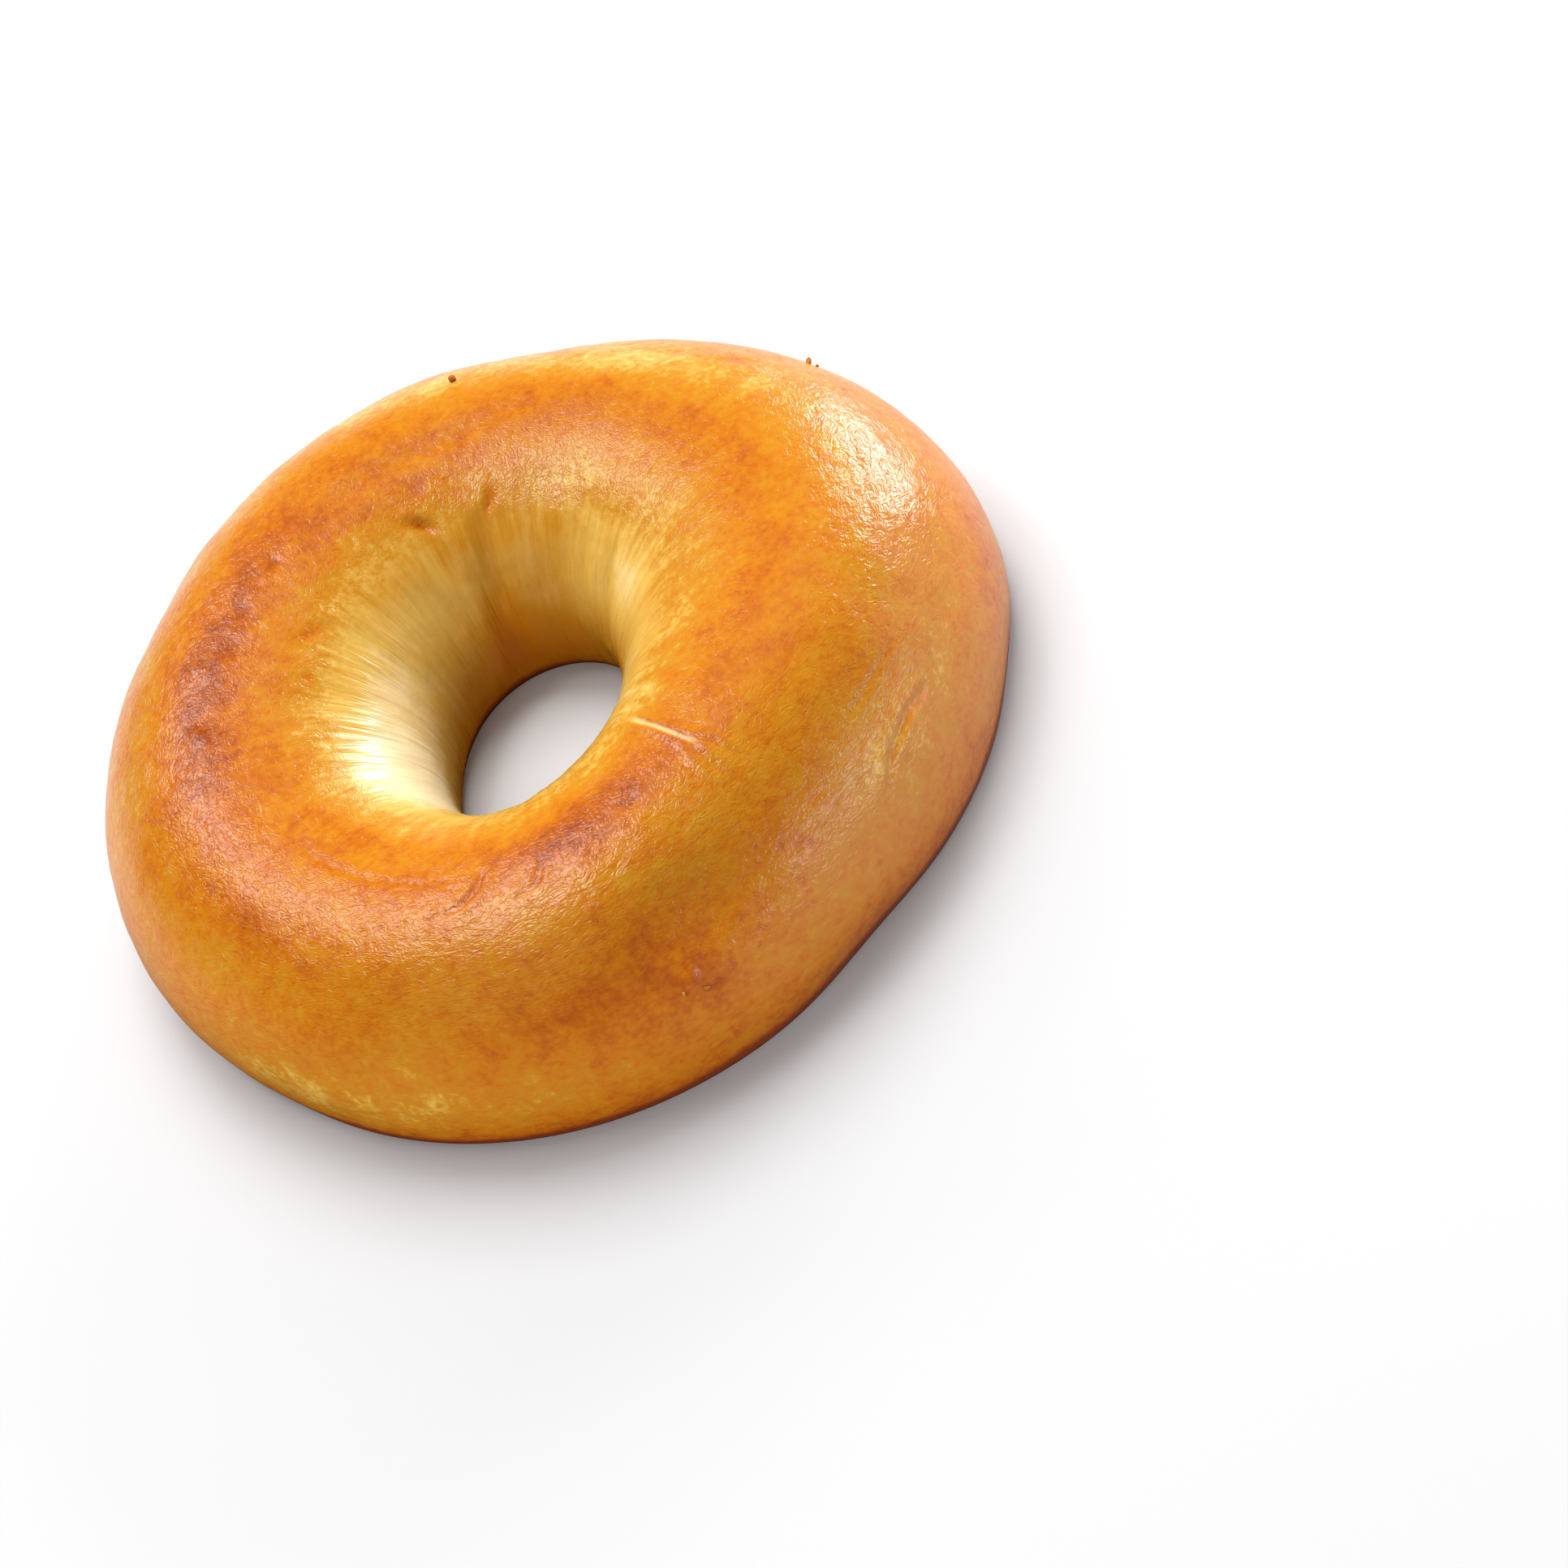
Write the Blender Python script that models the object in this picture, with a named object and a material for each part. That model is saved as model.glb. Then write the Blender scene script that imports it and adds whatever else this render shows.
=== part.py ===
"""The top half of a sliced bagel, lying on its cut face.

The whole ring is shaped first, from a torus whose points are moved onto the bagel's own uneven section,
and a knife then takes the bottom half away. Lengths are in metres, angles in degrees, and +Z is up.
"""

from math import atan2, cos, degrees, exp, radians, sin

import bpy
from mathutils import Vector

# The whole ring before it is sliced. Heights are above the cut.
OUTER_RADIUS = 0.054
HOLE_RADIUS = 0.0131
HOLE_SHIFT = Vector((-0.0019, -0.0038, 0.0))  # of the hole's centre from the ring's
CREST_HEIGHT = 0.0254
HEEL_DEPTH = 0.013
CREST_SHARE = 0.53  # where the crest lies, from the hole's wall (0) to the outer edge (1)
WIDEST_HEIGHT = 0.0054  # of the outer wall
THROAT_HEIGHT = 0.0072  # of the narrowest part of the hole
OUTER_FULLNESS = 2.1  # 2 is an ellipse, and more is squarer
INNER_FULLNESS = 1.97

# Slow waves round the ring: how many, how large as a share of the radius, and where the first one peaks.
OUTLINE_WAVES = ((2, 0.013, 0.0), (3, 0.012, -2.0), (4, 0.011, -3.0))
HOLE_WAVES = ((2, 0.144, 71.5),)
# The same for the crest's height, in metres.
CREST_WAVES = ((1, 0.00075, 2.0), (2, 0.0013, -52.0))

# Flattened spots: angle round the ring, angle round the section, how far they spread each way, and depth.
# Round the section, 0 is the outer wall, 90 the crest and 180 the hole's wall.
FLAT_SPOTS = (
    (8.0, 19.0, 11.0, 22.0, 0.0005),
    (66.0, 48.0, 12.0, 26.0, 0.0006),
    (139.0, 46.0, 10.0, 24.0, 0.0004),
    (214.0, -14.0, 10.0, 16.0, 0.0004),
    (279.0, 42.0, 9.0, 15.0, 0.0008),
    (295.0, -16.0, 11.0, 16.0, 0.0011),
    (336.0, -16.0, 9.0, 16.0, 0.0006),
)

STEPS_AROUND = 112
STEPS_OVER_SECTION = 60
TORUS_SECTION_RADIUS = 0.02  # of the torus that is moved into shape
KNIFE_MARGIN = 0.01
ON_CUT = 1e-6  # how near the cut a vertex lies to count as on it

CRUST_COLOUR = (0.55, 0.235, 0.052, 1.0)
CRUMB_COLOUR = (0.76, 0.56, 0.27, 1.0)


def make_material(name, colour, roughness):
    material = bpy.data.materials.new(name)
    material.use_nodes = True
    shader = material.node_tree.nodes["Principled BSDF"]
    shader.inputs["Base Color"].default_value = colour
    shader.inputs["Roughness"].default_value = roughness
    shader.inputs["Metallic"].default_value = 0.0
    return material


def add_waves(waves, around):
    return sum(size * cos(count * radians(around - peak)) for count, size, peak in waves)


def turn_between(angle, other):
    """The short way round from one angle to another."""
    return (angle - other + 180.0) % 360.0 - 180.0


def flattening(around, section):
    """How far the flattened spots press the surface in at this place."""
    return sum(
        depth
        * exp(-((turn_between(around, at) / wide) ** 2))
        * exp(-((turn_between(section, up) / tall) ** 2))
        for at, up, wide, tall, depth in FLAT_SPOTS
    )


def ring_point(around, section):
    """The place on the whole ring at these two angles."""
    reach = cos(radians(section))
    rise = sin(radians(section))
    outer_side = reach >= 0.0
    fullness = OUTER_FULLNESS if outer_side else INNER_FULLNESS
    width = (1.0 - CREST_SHARE) if outer_side else -CREST_SHARE
    share = CREST_SHARE + width * abs(reach) ** (2.0 / fullness)

    middle = WIDEST_HEIGHT if outer_side else THROAT_HEIGHT
    top = CREST_HEIGHT + add_waves(CREST_WAVES, around)
    span = (top - middle) if rise >= 0.0 else -(middle + HEEL_DEPTH)
    height = middle + span * abs(rise) ** (2.0 / fullness)

    outwards = Vector((cos(radians(around)), sin(radians(around)), 0.0))
    edge = outwards * OUTER_RADIUS * (1.0 + add_waves(OUTLINE_WAVES, around))
    wall = HOLE_SHIFT + outwards * HOLE_RADIUS * (1.0 + add_waves(HOLE_WAVES, around))
    point = wall.lerp(edge, share)
    point.z = height
    # Below the widest place a flattened spot is pressed straight inwards, so that the cut's edge stays level.
    facing = outwards * reach + Vector((0.0, 0.0, max(rise, 0.0)))
    return point - facing * flattening(around, section)


def shape_ring():
    """The whole bagel: a torus with each of its points moved to its place on the uneven ring."""
    bpy.ops.mesh.primitive_torus_add(
        major_segments=STEPS_AROUND,
        minor_segments=STEPS_OVER_SECTION,
        major_radius=OUTER_RADIUS,
        minor_radius=TORUS_SECTION_RADIUS,
    )
    ring = bpy.context.object
    for vertex in ring.data.vertices:
        x, y, z = vertex.co
        around = degrees(atan2(y, x))
        section = degrees(atan2(z, Vector((x, y)).length - OUTER_RADIUS))
        vertex.co = ring_point(around, section)
    return ring


def make_knife():
    """A box that holds everything below the cut."""
    side = 2.0 * OUTER_RADIUS + 2.0 * KNIFE_MARGIN
    depth = HEEL_DEPTH + KNIFE_MARGIN
    bpy.ops.mesh.primitive_cube_add(size=1.0, location=(0.0, 0.0, -depth / 2.0))
    knife = bpy.context.object
    knife.name = "knife_cut"
    knife.dimensions = (side, side, depth)
    bpy.ops.object.transform_apply(location=True, rotation=False, scale=True)
    knife.hide_render = True
    knife.display_type = "WIRE"
    return knife


def slice_ring(ring, knife):
    cut = ring.modifiers.new("slice", "BOOLEAN")
    cut.operation = "DIFFERENCE"
    cut.object = knife
    graph = bpy.context.evaluated_depsgraph_get()
    sliced = bpy.data.meshes.new_from_object(ring.evaluated_get(graph))
    ring.modifiers.clear()
    ring.data = sliced
    bpy.context.view_layer.update()


def centre_on_origin(half):
    """Puts the origin at the bottom centre of the half's box."""
    corners = [Vector(corner) for corner in half.bound_box]
    middle = (corners[0] + corners[6]) / 2.0
    for vertex in half.data.vertices:
        vertex.co -= Vector((middle.x, middle.y, 0.0))


def paint(half, crust, crumb):
    """Crust on the baked skin, and crumb on the cut face."""
    half.data.materials.clear()
    half.data.materials.append(crust)
    half.data.materials.append(crumb)
    for face in half.data.polygons:
        on_cut = all(abs(half.data.vertices[v].co.z) < ON_CUT for v in face.vertices)
        face.material_index = 1 if on_cut else 0
        face.use_smooth = not on_cut


def move_to(obj, name):
    collection = bpy.data.collections.get(name) or bpy.data.collections.new(name)
    if name not in bpy.context.scene.collection.children:
        bpy.context.scene.collection.children.link(collection)
    for holder in list(obj.users_collection):
        holder.objects.unlink(obj)
    collection.objects.link(obj)


def main():
    for old in list(bpy.data.objects):
        bpy.data.objects.remove(old)
    half = shape_ring()
    half.name = "bagel_top_half"
    knife = make_knife()
    slice_ring(half, knife)
    centre_on_origin(half)
    crust = make_material("baked crust", CRUST_COLOUR, 0.42)
    crumb = make_material("toasted crumb", CRUMB_COLOUR, 0.85)
    paint(half, crust, crumb)
    move_to(half, "bagel")
    move_to(knife, "cutters")


if __name__ == "__main__":
    main()
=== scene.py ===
"""The toasted top half of a sliced bagel: crust, crumb face, loose crumbs and a small studio.

It is laid out as an add-on and runs as a script. Lengths are in metres and +Z is up. Two angles say where a
place on the ring lies, in degrees: around, from +X towards +Y, and section, from the outer wall (0) over the
crest (90) to the hole's wall (180).
"""

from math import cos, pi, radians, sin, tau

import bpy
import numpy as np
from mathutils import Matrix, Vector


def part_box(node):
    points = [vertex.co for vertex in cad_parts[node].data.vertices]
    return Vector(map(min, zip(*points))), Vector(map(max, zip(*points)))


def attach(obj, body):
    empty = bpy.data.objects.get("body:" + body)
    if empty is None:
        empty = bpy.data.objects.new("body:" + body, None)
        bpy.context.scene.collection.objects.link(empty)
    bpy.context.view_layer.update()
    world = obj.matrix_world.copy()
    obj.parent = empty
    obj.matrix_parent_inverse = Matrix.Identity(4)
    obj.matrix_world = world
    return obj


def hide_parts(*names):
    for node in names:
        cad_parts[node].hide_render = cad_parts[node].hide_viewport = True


bl_info = {
    "name": "Toasted Bagel Half",
    "version": (1, 0, 0),
    "blender": (4, 5, 0),
    "location": "View3D > Sidebar > Bagel",
    "description": "Builds the toasted top half of a bagel and the studio that it lies in",
    "category": "Object",
}

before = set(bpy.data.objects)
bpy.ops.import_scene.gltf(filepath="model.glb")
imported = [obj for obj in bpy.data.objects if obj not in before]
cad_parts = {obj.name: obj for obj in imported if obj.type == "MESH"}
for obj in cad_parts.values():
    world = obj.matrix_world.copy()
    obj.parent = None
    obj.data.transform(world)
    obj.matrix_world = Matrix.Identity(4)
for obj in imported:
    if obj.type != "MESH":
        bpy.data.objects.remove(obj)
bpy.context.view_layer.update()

HALF_LOW, HALF_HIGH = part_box("bagel_top_half")
HALF_MIDDLE = (HALF_LOW + HALF_HIGH) / 2.0

MM = 0.001
MERGE_DISTANCE = 0.001 * MM  # closes the seams of a grid that wraps
MAP_STRIPS = 4  # that a ring's long map is cut into, a square number
MAP_MARGIN = 0.02  # round each strip, as a share of its cell

# --------------------------------------
# The ring's form

# Slow waves round the ring: how many, how large, and where the first one peaks. The outline's and the hole's
# are shares of their radius.
OUTLINE_WAVES = ((2, 0.013, 0.0), (3, 0.012, -2.0), (4, 0.011, -3.0))
HOLE_WAVES = ((2, 0.144, 71.5),)
CREST_WAVES = ((1, 0.75 * MM, 2.0), (2, 1.3 * MM, -52.0))

# Flattened spots: around, section, how far they spread each way in degrees, and their depth.
FLAT_SPOTS = (
    (8, 19, 11, 22, 0.5 * MM),
    (66, 48, 12, 26, 0.6 * MM),
    (139, 46, 10, 24, 0.4 * MM),
    (214, -14, 10, 16, 0.4 * MM),
    (279, 42, 9, 15, 0.8 * MM),
    (295, -16, 11, 16, 1.1 * MM),
    (336, -16, 9, 16, 0.6 * MM),
)

SKIN_ROWS = 148
UNDER_ROWS = 8
RING_STEPS = 600
ROW_CROWDING = 0.25  # how much closer the rows lie at the outer wall than in the hole

# How brown the crust is over the section, from 0, pale dough, to 1, dark. Towards both ends, by the cut, it is
# partly the scorched rim and partly painted shade low on the outer wall and deep in the hole.
BROWNING_OVER_SECTION = (
    (-18, 0.80), (-8, 0.70), (2, 0.60), (12, 0.56), (30, 0.53), (50, 0.55), (65, 0.56),
    (80, 0.62), (92, 0.70), (102, 0.67), (111, 0.62), (120, 0.49), (129, 0.34), (140, 0.23),
    (152, 0.20), (165, 0.28), (178, 0.42), (190, 0.50), (202, 0.56),
)

# Places on the crust are (around, section) in degrees, and sizes are in millimetres.

# Broad browner or paler areas: place, how far they spread each way in degrees, and how much browner. Some are
# painted light: paler where a highlight or the light falls, browner where shade or a dimmer highlight is
# painted.
PATCHES = (
    (150, 92, 30, 11, 0.17),
    # Partly its own paler crust, partly painted light: paler on the back slope, where the light from behind
    # falls.
    (50, 72, 60, 13, -0.19),
    # Painted highlight: paler along the hole's back edge, where the glints of the light from behind fall.
    (24, 112, 30, 7, -0.08),
    (322, 113, 66, 10, -0.11),
    # Partly its own paler crust, partly painted light: paler on the back slope, where the light from behind
    # falls.
    (90, 58, 55, 12, -0.12),
    (208, 67, 16, 10, 0.18),
    # Partly its own pale dough, partly painted light: paler on the hole's wall where the main light falls.
    (194, 164, 30, 28, -0.34),
    # Painted light: paler low in the hole, where too little light reaches.
    (146, 174, 28, 20, -0.10),
    (82, 135, 34, 10, 0.08),
    (298, 118, 26, 12, -0.10),
    # Partly the crust's own brown, partly painted shade against the floor's reflection on this side.
    (268, 30, 19, 18, 0.22),
    # Painted shade: browner where the side would mirror too much of the pale floor.
    (346, 16, 14, 14, 0.12),
    (226, 6, 28, 14, -0.20),
    (214, 112, 22, 6, 0.10),
    # Painted shade: browner to dim the highlight on the crest here.
    (270, 92, 18, 10, 0.20),
    # Painted shade: browner to dim the highlight on the crest here.
    (172, 83, 26, 10, 0.17),
    # Painted highlight: paler where the sheen on the right side falls.
    (308, 28, 16, 12, -0.06),
    (5, 140, 20, 14, -0.06),
    (50, 150, 26, 14, 0.06),
    (72, 166, 40, 18, 0.12),
    (352, 156, 18, 18, 0.14),
)

# Pits and blisters: place, length, width, how far turned from the way round, height, and how much browner.
# In the pits the browning is partly painted shade in the hollow.
SPOTS = (
    (73.5, 126, 1.5, 0.6, 65, -0.45, 0.22),
    (94, 124.5, 1.7, 0.6, -40, -0.65, 0.30),
    (91, 112, 1.3, 1, 0, -0.15, 0.14),
    (141.5, 119, 2.1, 0.8, -28, -0.22, 0.26),
    (127.8, 97.5, 0.8, 0.6, 0, -0.25, 0.20),
    (141, 96.5, 1.7, 1.1, 20, -0.12, 0.12),
    (150, 98, 1.6, 1.3, 0, -0.14, 0.14),
    (171, 89, 1.2, 0.9, 0, 0.25, 0.16),
    (174, 110, 0.8, 0.6, 0, -0.10, 0.18),
    (156, 122, 0.8, 0.6, 0, -0.10, 0.16),
    (280, 87, 1.2, 0.8, 0, -0.15, 0.18),
    (292, 57, 2.4, 1.5, 60, -0.10, 0.10),
    (275.5, 19, 0.8, 0.6, 0, -0.20, 0.20),
    (273.5, 26, 1, 0.5, 80, 0.45, 0.08),
    (29.5, 62, 2, 0.7, 20, -0.10, 0.14),
    (313, 21, 3.6, 2.4, 80, 0.30, -0.04),
)

# Creases: the places that each runs through, half its width, its depth, the height of its lips, and how
# much browner it is, which is partly the crust's own colour and partly painted shade in the groove.
CREASES = (
    (((180, 111.5), (200, 106), (213, 98), (232, 96), (246, 94)), 0.5, 0.13, 0.06, 0.05),
    (((183, 106.5), (203, 101), (216, 93)), 0.4, 0.09, 0.04, 0.03),
    (((244, 80), (248.5, 82.5), (251.5, 88), (252.5, 94)), 0.5, 0.22, 0.12, 0.12),
    (((257, 79), (261.5, 81), (263, 87)), 0.5, 0.18, 0.10, 0.10),
    (((77, 134), (79, 150), (81, 166), (84, 190)), 1.5, 0.80, 0.20, 0.12),
    (((94, 125), (91, 136), (90, 148)), 0.7, 0.25, 0.08, 0.05),
    (((25.5, 138), (25, 150), (25.5, 172)), 1.1, 0.40, 0.15, 0.05),
    (((65, 93), (78, 100.5), (110, 101), (121.5, 106)), 1.3, 0.20, 0.06, 0.04),
    (((306.5, 16), (306, 24), (309, 29.5), (315, 32), (319, 30)), 0.5, 0.22, 0.12, 0.06),
    (((309, 47.5), (322, 47)), 0.35, 0.12, 0.06, 0.04),
    (((333, 51.5), (344, 53), (355, 55.5), (362, 56)), 0.35, 0.12, 0.05, 0.06),
    (((338, 61), (352, 63), (361, 62)), 0.30, 0.10, 0.04, 0.04),
    (((293.2, 64), (293.2, 78), (294.4, 90)), 0.45, 0.10, 0.14, 0.02),
    (((296.8, 66), (296.4, 78), (295, 90)), 0.40, 0.08, 0.12, 0.05),
)

# A split in the crust that shows pale dough: the places it runs through, half its width, and its depth.
SPLIT = (((295.0, 84.0), (294.6, 90.0), (294.6, 108.0), (294.9, 114.0)), 0.36, 0.14)

SECTION_MM = 0.35  # of skin to a degree of section

# The hole's wall is drawn out. Its folds and streaks have a width, as a share of the ring's radius, and a
# pitch, which is how far their pattern moves on over a degree of section.
FOLD_WIDTH = 0.11
FOLD_PITCH = 0.0035
STREAK_WIDTH = 0.02
STRAND_WIDTH = 0.05
STREAK_PITCH = 0.0016

WRINKLE_RADIUS = 26.0 * MM  # of the circle on which the crown's wrinkles are laid out
FINE_WRINKLE = 0.4 * MM
BROAD_WRINKLE = 1.5 * MM
WRINKLE_DEPTH = 0.05 * MM
FIBRE_DEPTH = 0.15 * MM
PALE_SIDE_AND_PAINTED_LIGHT = (1.6, 1.53, 1.2, 1.0)  # how much paler the outer side is painted: partly its own paler crust, partly painted light

# Pores of the cut face: how far apart, the portion of places that hold one, and their depth.
PORES = ((0.9 * MM, 0.55, 0.35 * MM), (2.1 * MM, 0.40, 0.9 * MM), (5.0 * MM, 0.14, 2.2 * MM))
CRUMB_STEPS = 900
FACE_ROWS = 98
BACK_ROWS = 6
CRUMB_OVERLAP = 0.15 * MM  # how far the crumb reaches into the crust's rim

# Loose crumbs that lie on the crust: place, length, and how toasted each is.
LOOSE_CRUMBS = (
    (78.7, 70.4, 1.3, 0.9),
    (24, 36, 1.1, 0.6),
    (22.6, 34, 0.5, 0.4),
    (274.5, 20.5, 0.9, 0.5),
    (271.8, 23, 0.6, 0.4),
    (96, 31, 0.8, 0.7),
    (118, 14, 0.6, 0.5),
)
CRUMB_LIFT = 0.4  # how far a loose crumb's middle stands off the crust, in half lengths

# --------------------------------------
# Node trees


def math_method(operation):
    return lambda value, *others: value.math(operation, *others)


class Value:
    """A number that a tree's nodes work out, so that a formula reads as one."""

    def __init__(self, tree, socket):
        self.tree = tree
        self.socket = socket

    def math(self, operation, *others):
        node = self.tree.nodes.new("ShaderNodeMath")
        node.operation = operation
        for place, item in enumerate((self, *others)):
            plug(self.tree, item, node.inputs[place])
        return Value(self.tree, node.outputs[0])

    __add__ = __radd__ = math_method("ADD")
    __sub__ = math_method("SUBTRACT")
    __mul__ = __rmul__ = math_method("MULTIPLY")
    __truediv__ = math_method("DIVIDE")
    __pow__ = math_method("POWER")
    __abs__ = math_method("ABSOLUTE")
    cos = math_method("COSINE")
    sin = math_method("SINE")
    over = math_method("GREATER_THAN")  # 1 where the number is over a limit, and 0 elsewhere

    def __neg__(self):
        return self * -1.0

    def __rsub__(self, other):
        return -self + other

    def __rtruediv__(self, other):
        return self**-1.0 * other

    def clipped(self, low=0.0, high=1.0):
        return self.math("MAXIMUM", low).math("MINIMUM", high)

    def bell(self):
        """1 at zero, falling to nothing a little past 2 on either side."""
        return (-(self * self)).math("EXPONENT")

    def ramp(self, start, end, low=0.0, high=1.0):
        """Goes smoothly from low, where the number is start, to high, where it is end."""
        node = self.tree.nodes.new("ShaderNodeMapRange")
        node.interpolation_type = "SMOOTHSTEP"
        for place, item in enumerate((self, start, end, low, high)):
            plug(self.tree, item, node.inputs[place])
        return Value(self.tree, node.outputs[0])


def plug(tree, item, socket):
    """Links a value to a socket, or sets the socket to a plain number."""
    if isinstance(item, Value):
        tree.links.new(item.socket, socket)
    elif isinstance(item, bpy.types.NodeSocket):
        tree.links.new(item, socket)
    else:
        socket.default_value = item


def fill(tree, node, **inputs):
    """Fills a node's inputs by name, written with _ for a space."""
    for name, value in inputs.items():
        plug(tree, value, node.inputs[name.replace("_", " ")])


def add_node(tree, kind, settings=None, **inputs):
    """A node with its settings and its inputs."""
    node = tree.nodes.new(kind)
    for name, value in (settings or {}).items():
        setattr(node, name, value)
    fill(tree, node, **inputs)
    return node


def start_tree(name, kind, inputs):
    """A tree with named inputs and their defaults, None for geometry, and what its nodes read of them."""
    tree = bpy.data.node_groups.new(name, kind)
    sockets = {int: "NodeSocketInt", float: "NodeSocketFloat", type(None): "NodeSocketGeometry"}
    for label, value in inputs.items():
        socket_type = sockets.get(type(value), "NodeSocketVector")
        socket = tree.interface.new_socket(name=label, in_out="INPUT", socket_type=socket_type)
        if value is not None:
            socket.default_value = value
    entry = tree.nodes.new("NodeGroupInput")
    return tree, {label: Value(tree, entry.outputs[label]) for label in inputs}


def add_outputs(tree, **values):
    kinds = {"VALUE": "NodeSocketFloat", "RGBA": "NodeSocketColor", "VECTOR": "NodeSocketVector"}
    exit_node = tree.nodes.new("NodeGroupOutput")
    for name, item in values.items():
        socket = item.socket if isinstance(item, Value) else item
        kind = kinds.get(socket.type, "NodeSocketGeometry")
        tree.interface.new_socket(name=name, in_out="OUTPUT", socket_type=kind)
        tree.links.new(socket, exit_node.inputs[name])


def combine(tree, x, y, z):
    return add_node(tree, "ShaderNodeCombineXYZ", X=x, Y=y, Z=z).outputs[0]


def separate(tree, vector):
    node = add_node(tree, "ShaderNodeSeparateXYZ", Vector=vector)
    return [Value(tree, socket) for socket in node.outputs]


def noise(tree, vector, grain, detail=2.0, roughness=0.5, distortion=0.0):
    """Smooth noise about 0, from roughly -0.5 to 0.5, whose lumps are about grain metres across."""
    node = add_node(
        tree,
        "ShaderNodeTexNoise",
        Vector=vector,
        Scale=1.0 / grain,
        Detail=detail,
        Roughness=roughness,
        Distortion=distortion,
    )
    return Value(tree, node.outputs[0]) - 0.5


def set_position(tree, geometry, **places):
    """Moves points to a Position, by an Offset, or both."""
    return add_node(tree, "GeometryNodeSetPosition", Geometry=geometry, **places).outputs[0]


def read_position(tree):
    return tree.nodes.new("GeometryNodeInputPosition").outputs[0]


def along_normal(tree, height):
    """An offset of this height along the surface's normal."""
    normal = tree.nodes.new("GeometryNodeInputNormal").outputs[0]
    node = add_node(tree, "ShaderNodeVectorMath", {"operation": "SCALE"}, Vector=normal, Scale=height)
    return node.outputs[0]


def store(tree, geometry, name, value, domain="POINT", kind="FLOAT"):
    settings = {"data_type": kind, "domain": domain}
    node = add_node(tree, "GeometryNodeStoreNamedAttribute", settings, Geometry=geometry, Name=name)
    plug(tree, value, node.inputs["Value"])
    return node.outputs[0]


def close_seams(tree, geometry):
    node = add_node(tree, "GeometryNodeMergeByDistance", Geometry=geometry, Distance=MERGE_DISTANCE)
    return node.outputs[0]


def finish_tree(tree, geometry, material):
    """Smooths the shading, and ends a tree in Realize Instances and Set Material."""
    smooth = add_node(tree, "GeometryNodeSetShadeSmooth", Geometry=geometry).outputs[0]
    real = add_node(tree, "GeometryNodeRealizeInstances", Geometry=smooth).outputs[0]
    node = add_node(tree, "GeometryNodeSetMaterial", Geometry=real, Material=material)
    add_outputs(tree, Geometry=node.outputs[0])


def run_tree(tree, name, values, mesh=None):
    """An object whose plain mesh is what the tree makes with these inputs, from a mesh or from nothing."""
    obj = bpy.data.objects.new(name, mesh or bpy.data.meshes.new(name))
    bpy.context.scene.collection.objects.link(obj)
    modifier = obj.modifiers.new(tree.name, "NODES")
    modifier.node_group = tree
    for item in tree.interface.items_tree:
        if item.item_type == "SOCKET" and item.in_out == "INPUT" and item.name in values:
            modifier[item.identifier] = values[item.name]
    graph = bpy.context.evaluated_depsgraph_get()
    made = bpy.data.meshes.new_from_object(
        obj.evaluated_get(graph), preserve_all_data_layers=True, depsgraph=graph
    )
    obj.modifiers.clear()
    obj.data = made
    made.name = name
    used = made.materials[made.polygons[0].material_index]
    made.materials.clear()
    made.materials.append(used)
    made.polygons.foreach_set("material_index", np.zeros(len(made.polygons), np.int32))
    return obj


# --------------------------------------
# The ring, worked out by nodes


def add_waves(around, waves):
    """The sum of slow waves at this angle, in radians."""
    return sum((around * count - count * radians(peak)).cos() * size for count, size, peak in waves)


def ring_place(tree, sizes, around, share, height):
    """The place at a share of the way from the hole's wall (0) to the outer edge (1), and at a height."""
    shift_x, shift_y, _ = separate(tree, sizes["Hole Shift"].socket)
    edge = sizes["Outer Radius"] * (1.0 + add_waves(around, OUTLINE_WAVES))
    wall = sizes["Hole Radius"] * (1.0 + add_waves(around, HOLE_WAVES))
    radius = wall * (1.0 - share) + edge * share
    x = radius * around.cos() + shift_x * (1.0 - share)
    y = radius * around.sin() + shift_y * (1.0 - share)
    return combine(tree, x, y, height)


def flattening(around, section):
    """How far the flattened spots press the surface in. Both angles are in radians."""
    pressed = 0.0
    for at, up, wide, tall, depth in FLAT_SPOTS:
        turned = (around - radians(at)).math("WRAP", pi, -pi) / radians(wide)
        risen = (section - radians(up)) / radians(tall)
        pressed = turned.bell() * risen.bell() * depth + pressed
    return pressed


def section_ends(sizes):
    """The two section angles where the skin meets the cut: under the outer wall, and under the hole's."""
    outer = sizes["Widest Height"] / (sizes["Widest Height"] + sizes["Heel Depth"])
    inner = sizes["Throat Height"] / (sizes["Throat Height"] + sizes["Heel Depth"])
    start = -(outer ** (sizes["Outer Fullness"] / 2.0)).math("ARCSINE")
    end = (inner ** (sizes["Inner Fullness"] / 2.0)).math("ARCSINE") + pi
    return start, end


def section_profile(sizes, around, section):
    """The share across and the height of the skin at a section angle."""
    reach = section.cos()
    rise = section.sin()
    outer = reach.over(0.0)
    upper = rise.over(0.0)
    fullness = sizes["Inner Fullness"] + (sizes["Outer Fullness"] - sizes["Inner Fullness"]) * outer
    share = sizes["Crest Share"] + (outer - sizes["Crest Share"]) * abs(reach) ** (2.0 / fullness)
    middle = sizes["Throat Height"] + (sizes["Widest Height"] - sizes["Throat Height"]) * outer
    top = sizes["Crest Height"] + add_waves(around, CREST_WAVES)
    span = (top + sizes["Heel Depth"]) * upper - (middle + sizes["Heel Depth"])
    height = middle + span * abs(rise) ** (2.0 / fullness)
    return share, height


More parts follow.
